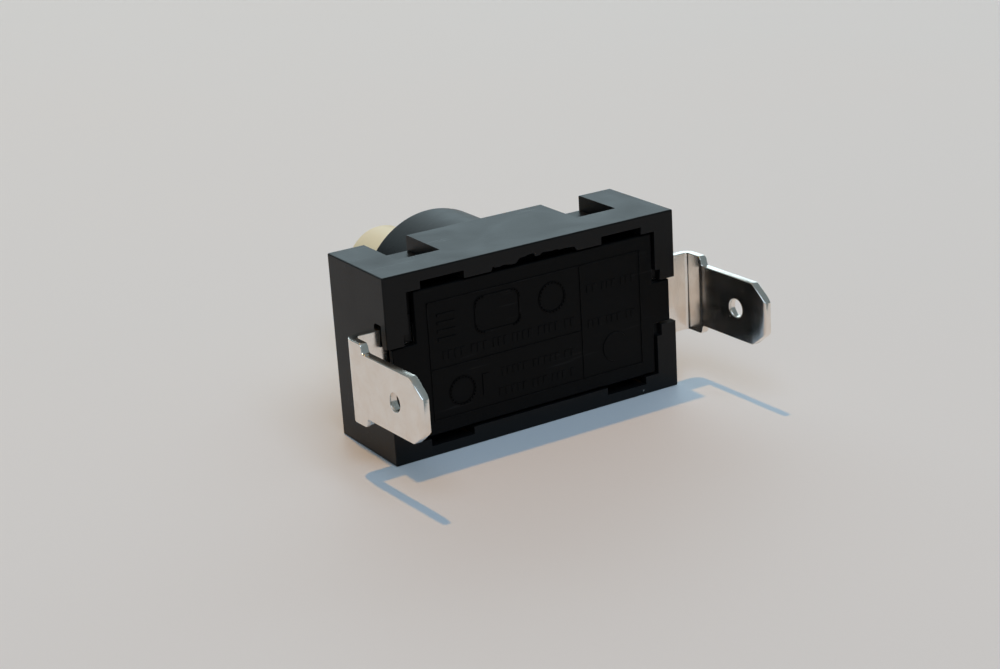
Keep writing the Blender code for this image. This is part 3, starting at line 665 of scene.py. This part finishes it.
def housing_piece():
    """The black moulded body: block, collar, chamber, cover seat, snap stations and mould marks."""
    block = rounded_box((-HALF_LENGTH, HALF_LENGTH), (0, DEPTH), (0, HEIGHT), 0.15, 3)
    root_fillet = 0.45
    lip = 0.4
    collar = turned([
        (0, DEPTH - 1.2),
        (COLLAR_RADIUS + root_fillet, DEPTH - 1.2),
        (COLLAR_RADIUS + root_fillet, DEPTH - 0.02),
        *arc((COLLAR_RADIUS + root_fillet, DEPTH + root_fillet), root_fillet, 268, 180, 5),
        (COLLAR_RADIUS, COLLAR_END - lip),
        *arc((COLLAR_RADIUS - lip, COLLAR_END - lip), lip, 20, 90, 4),
        (0, COLLAR_END),
    ], steps=COLLAR_STEPS)
    seat = box((-SEAT_HALF_X, SEAT_HALF_X), (-1, SEAT_DEPTH), (AXIS_Z - SEAT_HALF_Z, AXIS_Z + SEAT_HALF_Z))
    chamber = box((-CHAMBER_HALF_X, CHAMBER_HALF_X), (-1, DEPTH - 1.4),
                  (AXIS_Z - CHAMBER_HALF_Z, AXIS_Z + CHAMBER_HALF_Z))
    mouth_wall = COLLAR_END - 1.4
    guide = cylinder(GUIDE_RADIUS, (DEPTH - 3, mouth_wall), steps=COLLAR_STEPS)
    mouth = turned([
        (0, DEPTH),
        (MOUTH_RADIUS, DEPTH),
        (MOUTH_RADIUS, COLLAR_END - 0.25),
        (MOUTH_RADIUS + 0.3, COLLAR_END + 0.05),
        (MOUTH_RADIUS + 0.3, COLLAR_END + 1),
        (0, COLLAR_END + 1),
    ])
    key_reach = GUIDE_RADIUS + 0.7
    keyway = box((-key_reach, key_reach), (DEPTH - 3, mouth_wall), (AXIS_Z - 1.1, AXIS_Z + 1.1))
    relief_outline = [
        (-5.0, -0.4),
        (-4.6, 0.42),
        *ragged_edge(-4.3, -2.6, 0.22, 0.42, 3),
        *ragged_edge(-1.6, 3.2, 0.4, 0.78, 5),
        (4.6, 0.45),
        (5.2, -0.4),
    ]
    rim_relief = prism(relief_outline, -1, NOTCH_DEPTH, lambda x, z, y: along_y(x, SEAT_HALF_Z + z, y))
    ejector_marks = [cylinder(1.25, (DEPTH - 0.06, DEPTH + 1), x, z, 40)
                     for x in (-12.6, 12.6) for z in (5.2, HEIGHT - 5.2)]
    gate_mark = cylinder(0.7, (DEPTH - 0.12, DEPTH + 1), 0.0, 0.55 + 0.7 - 0.4, 32)
    ceiling = CHAMBER_HALF_Z
    pin_hole = prism(arc((0, PIN_HOLE_Y), PIN_HOLE_RADIUS, 0, 345, 23), ceiling - 1, ceiling + 1.8, along_z)
    leaf_slot = box((-1.4, 1.4), (8.45, 8.95), (AXIS_Z + ceiling - 1, AXIS_Z + ceiling + 1.3))
    body = combine(block, [collar], "UNION")
    cuts = [seat, chamber, guide, mouth, keyway, rim_relief, *snap_station_cuts(), *end_wall_cuts()]
    body = combine(body, cuts + ejector_marks + [gate_mark, pin_hole, leaf_slot], "DIFFERENCE")
    # A thin ledge beside the left tongue shuts off the view from the seat into the strip's slot.
    ledge_reach = 4.9
    ledge = box((-SEAT_HALF_X - 0.3, -SEAT_HALF_X + 0.7), (SEAT_DEPTH - 0.12, SEAT_DEPTH - 0.02),
                (AXIS_Z + TONGUE_HALF_WIDTH + 0.21, AXIS_Z + ledge_reach))
    body = combine(body, [ledge, mirrored(ledge, 2)], "UNION")
    bmesh.ops.dissolve_limit(body, angle_limit=math.radians(0.6), verts=body.verts, edges=body.edges)
    return make_piece("housing_moulding", body, HOUSING_BLACK, "switch_body",
                      ["housing"], edge=0.07)


# ---------------------------------------------------------------- rear cover

COVER_FACE = COVER_LOW.y
COVER_INNER = COVER_FACE + 0.75
PLATE_LEFT = -13.15
PLATE_RIGHT = 13.75
PLATE_HALF_Z = 7.25


def cover_piece():
    """The snap-in rear cover: plate, two end tongues, four hooked legs and the spring's boss."""
    plate = rounded_box((PLATE_LEFT, PLATE_RIGHT), (COVER_FACE, COVER_INNER),
                        (AXIS_Z - PLATE_HALF_Z, AXIS_Z + PLATE_HALF_Z), 0.12, 3)
    tongue = rounded_box((COVER_LOW.x, COVER_HIGH.x), (COVER_FACE + 0.001, COVER_INNER - 0.05),
                         (AXIS_Z - TONGUE_HALF_WIDTH, AXIS_Z + TONGUE_HALF_WIDTH), 0.1, 3)
    boss_root = COVER_INNER - 0.4
    boss = turned([(0, boss_root), (1.15, boss_root), (1.15, 2.9), (0.85, 3.2), (0, 3.2)], steps=48)
    hook_rear, hook_front = 4.4, COVER_HIGH.y
    leg_inner, leg_outer, hook_height = 6.4, PLATE_HALF_Z, COVER_HIGH.z - AXIS_Z
    leg = prism([
        (COVER_INNER - 0.4, leg_inner),
        (hook_front, leg_inner),
        (hook_front, leg_outer),
        (hook_rear + 0.3, hook_height),
        (hook_rear, hook_height),
        (hook_rear, leg_outer),
        (COVER_INNER - 0.4, leg_outer),
    ], SNAP_X - SNAP_HALF_WIDTH + 0.3, SNAP_X + SNAP_HALF_WIDTH - 0.3, along_x)
    body = combine(plate, [tongue, boss, *four_corners(leg)], "UNION")
    bmesh.ops.dissolve_limit(body, angle_limit=math.radians(0.6), verts=body.verts, edges=body.edges)
    return make_piece("cover_plate", body, COVER_BLACK, "switch_body",
                      ["rear_cover"], edge=0.05)


RELIEF_TOP = COVER_FACE - 0.09
RELIEF_ROOT = COVER_FACE + 0.05


def raised_bar(x_span, z_span, top=RELIEF_TOP):
    """A low rib on the cover's face, narrower at its top; z is counted from the bottom of the block."""
    draft = 0.03
    bm = box(x_span, (top, RELIEF_ROOT), z_span)
    middle = Vector(((x_span[0] + x_span[1]) / 2, 0.0, (z_span[0] + z_span[1]) / 2))
    for vert in bm.verts:
        if vert.co.y < COVER_FACE:
            vert.co.x += draft if vert.co.x < middle.x else -draft
            vert.co.z += draft if vert.co.z < middle.z else -draft
    return bm


def raised_outline(points, width):
    """A closed raised line through the points, as one strip of low ribs."""
    bars = []
    for (x0, z0), (x1, z1) in zip(points, points[1:] + points[:1]):
        along = Vector((x1 - x0, z1 - z0))
        side = Vector((-along.y, along.x)).normalized() * width / 2
        reach = along.normalized() * width / 2
        corners = [
            (x0 - reach.x + side.x, z0 - reach.y + side.y),
            (x0 - reach.x - side.x, z0 - reach.y - side.y),
            (x1 + reach.x - side.x, z1 + reach.y - side.y),
            (x1 + reach.x + side.x, z1 + reach.y + side.y),
        ]
        bars.append(prism(corners, RELIEF_TOP, RELIEF_ROOT, lambda x, z, y: (x, y, z)))
    return bars


def blank_row(x_start, x_end, z, seed, height=0.8):
    """A row of blank upright pads in groups, which stands where a line of print would be."""
    pick = random.Random(seed)
    pads = []
    x = x_start
    left_in_group = pick.randint(2, 5)
    while x < x_end:
        width = pick.uniform(0.34, 0.52)
        pads.append(raised_bar((x, x + width), (z - height / 2, z + height / 2), COVER_FACE - 0.06))
        x += width + 0.2
        left_in_group -= 1
        if left_in_group == 0:
            x += 0.42
            left_in_group = pick.randint(2, 5)
    return pads


def relief_piece():
    """The raised panel on the cover: a frame with dividers, blank pads in rows and plain outlines."""
    left, right, bottom, top = -11.9, 12.3, 3.3, 15.1
    split_x, split_z = 5.1, 8.3
    line = 0.16
    ribs = [
        raised_bar((left, right), (bottom, bottom + line)),
        raised_bar((left, right), (top - line, top)),
        raised_bar((left, left + line), (bottom, top)),
        raised_bar((right - line, right), (bottom, top)),
        raised_bar((split_x, split_x + line), (bottom, top)),
        raised_bar((left, split_x), (split_z, split_z + line)),
    ]
    ribs += blank_row(-4.6, 4.2, 4.5, 11)
    ribs += blank_row(-4.2, 4.0, 6.5, 12)
    ribs += blank_row(-10.5, 4.1, 9.6, 13, 0.9)
    ribs += blank_row(5.9, 11.7, 12.5, 14)
    ribs += blank_row(5.9, 11.5, 8.9, 15)
    for height in (11.1, 11.9, 12.7, 13.5):
        ribs.append(raised_bar((-10.9, -8.9), (height, height + 0.3)))
    rounded = []
    window_corners = ((-2.6, 11.7, -90), (-2.6, 13.6, 0), (-5.9, 13.6, 90), (-5.9, 11.7, 180))
    for corner_x, corner_z, start in window_corners:
        rounded += arc((corner_x, corner_z), 0.8, start, start + 90, 4)
    ribs += raised_outline(rounded, 0.18)
    ribs += raised_outline(arc((1.9, 12.6), 1.45, 0, 345, 23), 0.18)
    ribs += raised_outline(arc((-8.6, 5.7), 1.35, 0, 345, 23), 0.18)
    ribs.append(raised_bar((-6.4, -5.6), (4.6, 6.8)))
    ribs.append(turned([(0, RELIEF_ROOT), (1.5, RELIEF_ROOT), (1.45, RELIEF_TOP), (0, RELIEF_TOP)],
                       9.0, 5.9, 48))
    return make_piece("cover_relief", merged(ribs), COVER_BLACK, "switch_body")


# ---------------------------------------------------------------- terminals

def blade_layout(side):
    """From the CAD box: the blade's distance from the middle, its bend angle, and the tip's y."""
    low, high = cad_box_mm(f"terminal_{side}")
    turn = math.radians(BEND_DEGREES[side])
    bend_y = STRIP_Y - BEND_RADIUS
    tip_half_thickness = 0.31
    tip_chamfer = 0.4
    tip_drop = tip_half_thickness * abs(math.cos(turn))
    straight = (bend_y + BEND_RADIUS * math.cos(turn) - low.y - tip_drop) / math.sin(turn)
    lean = max(0.0, (straight - tip_chamfer) * math.cos(turn))
    return max(high.x, -low.x) - STRIP / 2 - lean, turn, bend_y - straight


def strip_stations(blade_x, turn, tip_y):
    """Where the strip's width or thickness changes: (distance along it, half width, thickness)."""
    leg = blade_x - BEND_RADIUS - STRIP_START
    bend = BEND_RADIUS * turn
    bend_y = STRIP_Y - BEND_RADIUS

    def at_y(y):
        return leg + bend + (bend_y - y)

    shoulder_at = 13.0 - STRIP_START
    contact_half = 3.0
    tip_half = 1.6
    taper = 1.95
    stations = [
        (0.0, contact_half - 0.5, STRIP),
        (0.15, contact_half - 0.15, STRIP),
        (0.5, contact_half, STRIP),
        (shoulder_at - 0.6, contact_half, STRIP),
        (shoulder_at, SHOULDER, STRIP),
        (leg, SHOULDER, STRIP),
    ]
    bend_steps = 14
    for step in range(1, bend_steps + 1):
        stations.append((leg + bend * step / bend_steps, SHOULDER, STRIP))
    stations += [
        (at_y(-0.75), SHOULDER, STRIP),
        (at_y(-0.95), SHOULDER - 0.05, STRIP),
        (at_y(-1.12), SHOULDER - 0.26, STRIP),
        (at_y(-1.24), BLADE_HALF + 0.16, STRIP),
        (at_y(-1.38), BLADE_HALF + 0.03, STRIP),
        (at_y(-1.6), BLADE_HALF, STRIP),
        (at_y(tip_y + taper + 0.12), BLADE_HALF, STRIP),
        (at_y(tip_y + taper - 0.1), BLADE_HALF - 0.08, STRIP),
        (at_y(tip_y + 1.0), BLADE_HALF - 0.74, STRIP),
        (at_y(tip_y + 0.42), BLADE_HALF - 1.2, STRIP),
        (at_y(tip_y + 0.2), tip_half + 0.13, STRIP * 0.92),
        (at_y(tip_y + 0.05), tip_half + 0.02, STRIP * 0.8),
        (at_y(tip_y), tip_half - 0.05, STRIP * 0.72),
    ]
    return stations, leg, bend


def strip_place(distance, leg, bend, blade_x):
    """The place and the outward direction of the strip's middle line at a distance along it."""
    if distance <= leg:
        return Vector((STRIP_START + distance, STRIP_Y, AXIS_Z)), Vector((0, 1, 0))
    centre = Vector((blade_x - BEND_RADIUS, STRIP_Y - BEND_RADIUS, AXIS_Z))
    angle = min(distance - leg, bend) / BEND_RADIUS
    outward = Vector((math.sin(angle), math.cos(angle), 0))
    along = Vector((math.cos(angle), -math.sin(angle), 0))
    return centre + outward * BEND_RADIUS + along * max(distance - leg - bend, 0), outward


def strip_section(half, half_width):
    """Corners of the strip's cross-section, with a rolled edge."""
    edge = 0.07
    corners = []
    deep = half - edge
    wide = half_width - edge
    for depth, rise, start in ((deep, wide, 0), (-deep, wide, 90), (-deep, -wide, 180), (deep, -wide, 270)):
        corners += arc((depth, rise), edge, start, start + 90, 4)
    return corners


def terminal_shape(blade_x, turn, tip_y, rolled):
    """A right-hand terminal: strip, bend and blade, with the rolled tab hole and the rivet hole."""
    stations, leg, bend = strip_stations(blade_x, turn, tip_y)
    bm = bmesh.new()
    rings = []
    for distance, half_width, thickness in stations:
        middle, outward = strip_place(distance, leg, bend, blade_x)
        ring = []
        for depth, rise in strip_section(thickness / 2, half_width):
            ring.append(bm.verts.new(middle + outward * depth + Vector((0, 0, rise))))
        rings.append(ring)
    bm.faces.new(rings[0])
    bm.faces.new(rings[-1])
    for ring, following in zip(rings, rings[1:]):
        for corner in range(len(ring)):
            after = (corner + 1) % len(ring)
            bm.faces.new([ring[corner], ring[after], following[after], following[corner]])
    bmesh.ops.recalc_face_normals(bm, faces=bm.faces)
    half = STRIP / 2
    wide = BLADE_HOLE_RADIUS + rolled
    hole = turned([
        (0, -1.0),
        (wide, -1.0),
        *arc((wide, -half + rolled), rolled, 270, 180, 5),
        *arc((wide, half - rolled), rolled, 180, 90, 5),
        (wide, 1.0),
        (0, 1.0),
    ], 0.0, 0.0, 48)
    place, outward = strip_place(leg + bend + STRIP_Y - BEND_RADIUS - BLADE_HOLE_Y, leg, bend, blade_x)
    aim = Vector((0, 1, 0)).rotation_difference(outward).to_matrix().to_4x4()
    hole.transform(Matrix.Translation(place) @ aim)
    rivet_hole = cylinder(0.9, (STRIP_Y - 2, STRIP_Y + 2), CONTACT_X, steps=32)
    return combine(bm, [hole, rivet_hole], "DIFFERENCE")


def terminal_pieces():
    for side, rolled in (("right", 0.19), ("left", 0.06)):
        bm = terminal_shape(*blade_layout(side), rolled)
        if side == "left":
            bm = mirrored(bm, 0)
        make_piece(f"blade_{side}", bm, TINNED, "switch_body", [f"terminal_{side}"])


# ---------------------------------------------------------------- plunger, springs and latch

def plunger_piece():
    """The pale push button: domed rim, guided flange with two keys, socket and ejector ring."""
    flange_rear = PLUNGER_LOW.y
    flange_front = flange_rear + 2.8
    flange_radius = (PLUNGER_HIGH.z - PLUNGER_LOW.z) / 2
    head_radius = 4.2
    end = PLUNGER_HIGH.y
    rim = 0.7
    profile = [
        (0, flange_rear),
        (flange_radius - 0.12, flange_rear),
        (flange_radius, flange_rear + 0.12),
        (flange_radius, flange_front - 0.12),
        (flange_radius - 0.12, flange_front),
        (head_radius + 0.2, flange_front),
        (head_radius, flange_front + 0.2),
        *arc((head_radius - rim, end - rim), rim, 0, 90, 9),
        (1.75, end),
        (1.6, end - 0.08),
        (0, end - 0.08),
    ]
    keys = []
    for sign in (-1, 1):
        span = sorted((sign * (flange_radius - 0.8), sign * PLUNGER_HIGH.x))
        keys.append(box(span, (flange_rear + 0.3, flange_front - 0.3), (AXIS_Z - 0.9, AXIS_Z + 0.9)))
    body = combine(turned(profile, steps=112), keys, "UNION")
    socket = cylinder(2.9, (flange_rear - 1, flange_rear + 2.4), steps=64)
    body = combine(body, [socket], "DIFFERENCE")
    return make_piece("plunger_head", body, PLUNGER_CREAM, "plunger_slide", ["plunger"])


def spring_pieces():
    """Both coil springs, each with a mesh of its own."""
    return_wire = 0.18
    return_mean = (RETURN_HIGH.x - RETURN_LOW.x) / 2 - return_wire
    shape = coil(return_mean, return_wire, RETURN_LOW.y, RETURN_HIGH.y, 11, 28, 10)
    back = make_piece("return_spring_wire", shape, STEEL, "switch_body", ["return_spring"])
    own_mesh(back)
    press_wire = 0.22
    press_mean = (PRESS_HIGH.x - PRESS_LOW.x) / 2 - press_wire
    shape = coil(press_mean, press_wire, PRESS_LOW.y, PRESS_HIGH.y, 3.25, 48, 10)
    press = make_piece("contact_spring_wire", shape, STEEL, "plunger_slide",
                       ["contact_spring"])
    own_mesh(press)


def latch_piece():
    """The bent wire that follows the heart cam."""
    wire_radius = 0.4
    pivot_y = PIN_LOW.y + wire_radius
    tip_y = PIN_HIGH.y - wire_radius
    run_z = 5.35
    bend = 0.55
    top = PIN_HIGH.z - AXIS_Z
    low = PIN_LOW.z - AXIS_Z
    points = [
        (pivot_y, top),
        (pivot_y, run_z + bend + 0.3),
        *arc((pivot_y + bend, run_z + bend), bend, 180, 270, 9),
        *arc((tip_y - bend, run_z - bend), bend, 90, 0, 9),
        (tip_y, low),
    ]
    path = [(0.0, y, AXIS_Z + z) for y, z in points]
    return make_piece("latch_pin_wire", wire(path, wire_radius, 20), STEEL, "latch",
                      ["latch_pin"])


def dress_cad_nodes():
    """The inner pieces keep their CAD shape and get their finish."""
    finishes = {
        "fixed_contact_left": SILVER,
        "fixed_contact_right": SILVER,
        "moving_contact_left": SILVER,
        "moving_contact_right": SILVER,
        "contact_bridge": COPPER,
        "bridge_clip": STEEL,
        "latch_leaf_spring": STEEL,
        "cam_carrier": CARRIER_WHITE,
    }
    for node, mat in finishes.items():
        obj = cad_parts[node]
        for material_slot in obj.material_slots:
            material_slot.material = mat


# ---------------------------------------------------------------- table, lights and camera

def make_table():
    bm = bmesh.new()
    size = 1.6
    steps = 24
    grid = {}
    for i in range(steps + 1):
        for j in range(steps + 1):
            x = -size + 2 * size * i / steps
            y = -size + 2 * size * j / steps
            grid[i, j] = bm.verts.new((x, y, 0.0))
    for i in range(steps):
        for j in range(steps):
            bm.faces.new([grid[i, j], grid[i + 1, j], grid[i + 1, j + 1], grid[i, j + 1]])
    mesh = bpy.data.meshes.new("table")
    bm.to_mesh(mesh)
    bm.free()
    mesh.materials.append(table_material())
    table = bpy.data.objects.new("table", mesh)
    bpy.context.scene.collection.objects.link(table)


def place_light(name, kind, place, aim, power, colour, size):
    light = bpy.data.lights.new(name, kind)
    light.energy = power
    light.color = colour
    light.shape = "RECTANGLE"
    light.size, light.size_y = size
    obj = bpy.data.objects.new(name, light)
    obj.location = place
    obj.rotation_euler = (Vector(aim) - Vector(place)).to_track_quat("-Z", "Y").to_euler()
    obj.visible_camera = False
    bpy.context.scene.collection.objects.link(obj)


def toward(azimuth, elevation, distance):
    """A place seen from the switch: azimuth from +Y towards +X, both angles in degrees."""
    a, e = math.radians(azimuth), math.radians(elevation)
    return Vector((math.sin(a) * math.cos(e), math.cos(a) * math.cos(e), math.sin(e))) * distance


def make_lights():
    middle = (0.0, 0.0, 0.008)
    place_light("window", "AREA", toward(31, 21, 2.0), middle, 14.8, (0.73, 0.92, 1.0), (3.3, 1.0))
    place_light("lamp", "AREA", toward(1, 77.1, 1.5), middle, 7.3, (1.0, 0.52, 0.12), (0.03, 0.03))
    place_light("skylight", "AREA", toward(195, 60, 2.4), middle, 22.6, (0.63, 0.81, 1.0), (2.0, 1.6))
    world = bpy.data.worlds.new("room")
    world.use_nodes = True
    world.node_tree.nodes["Background"].inputs["Color"].default_value = (0.15, 0.19, 0.205, 1.0)
    world.node_tree.nodes["Background"].inputs["Strength"].default_value = 1.0
    bpy.context.scene.world = world


def make_camera():
    """The camera looks over the rear cover's left end, turned a little about its own axis."""
    lens = bpy.data.cameras.new("camera")
    lens.sensor_width = 36.0
    lens.lens = 70.7
    lens.clip_start = 0.005
    lens.clip_end = 20.0
    camera = bpy.data.objects.new("camera", lens)
    place = Vector((-94.12, -160.76, 72.02)) * MM
    aim = Vector((0.89, -1.55, 6.77)) * MM
    level = (aim - place).to_track_quat("-Z", "Y")
    camera.rotation_mode = "QUATERNION"
    camera.rotation_quaternion = level @ Matrix.Rotation(math.radians(-3.6), 3, "Z").to_quaternion()
    camera.location = place
    bpy.context.scene.collection.objects.link(camera)
    bpy.context.scene.camera = camera


housing_piece()
cover_piece()
relief_piece()
terminal_pieces()
plunger_piece()
spring_pieces()
latch_piece()
dress_cad_nodes()
make_table()
make_lights()
make_camera()
bpy.context.scene.view_settings.view_transform = "Standard"
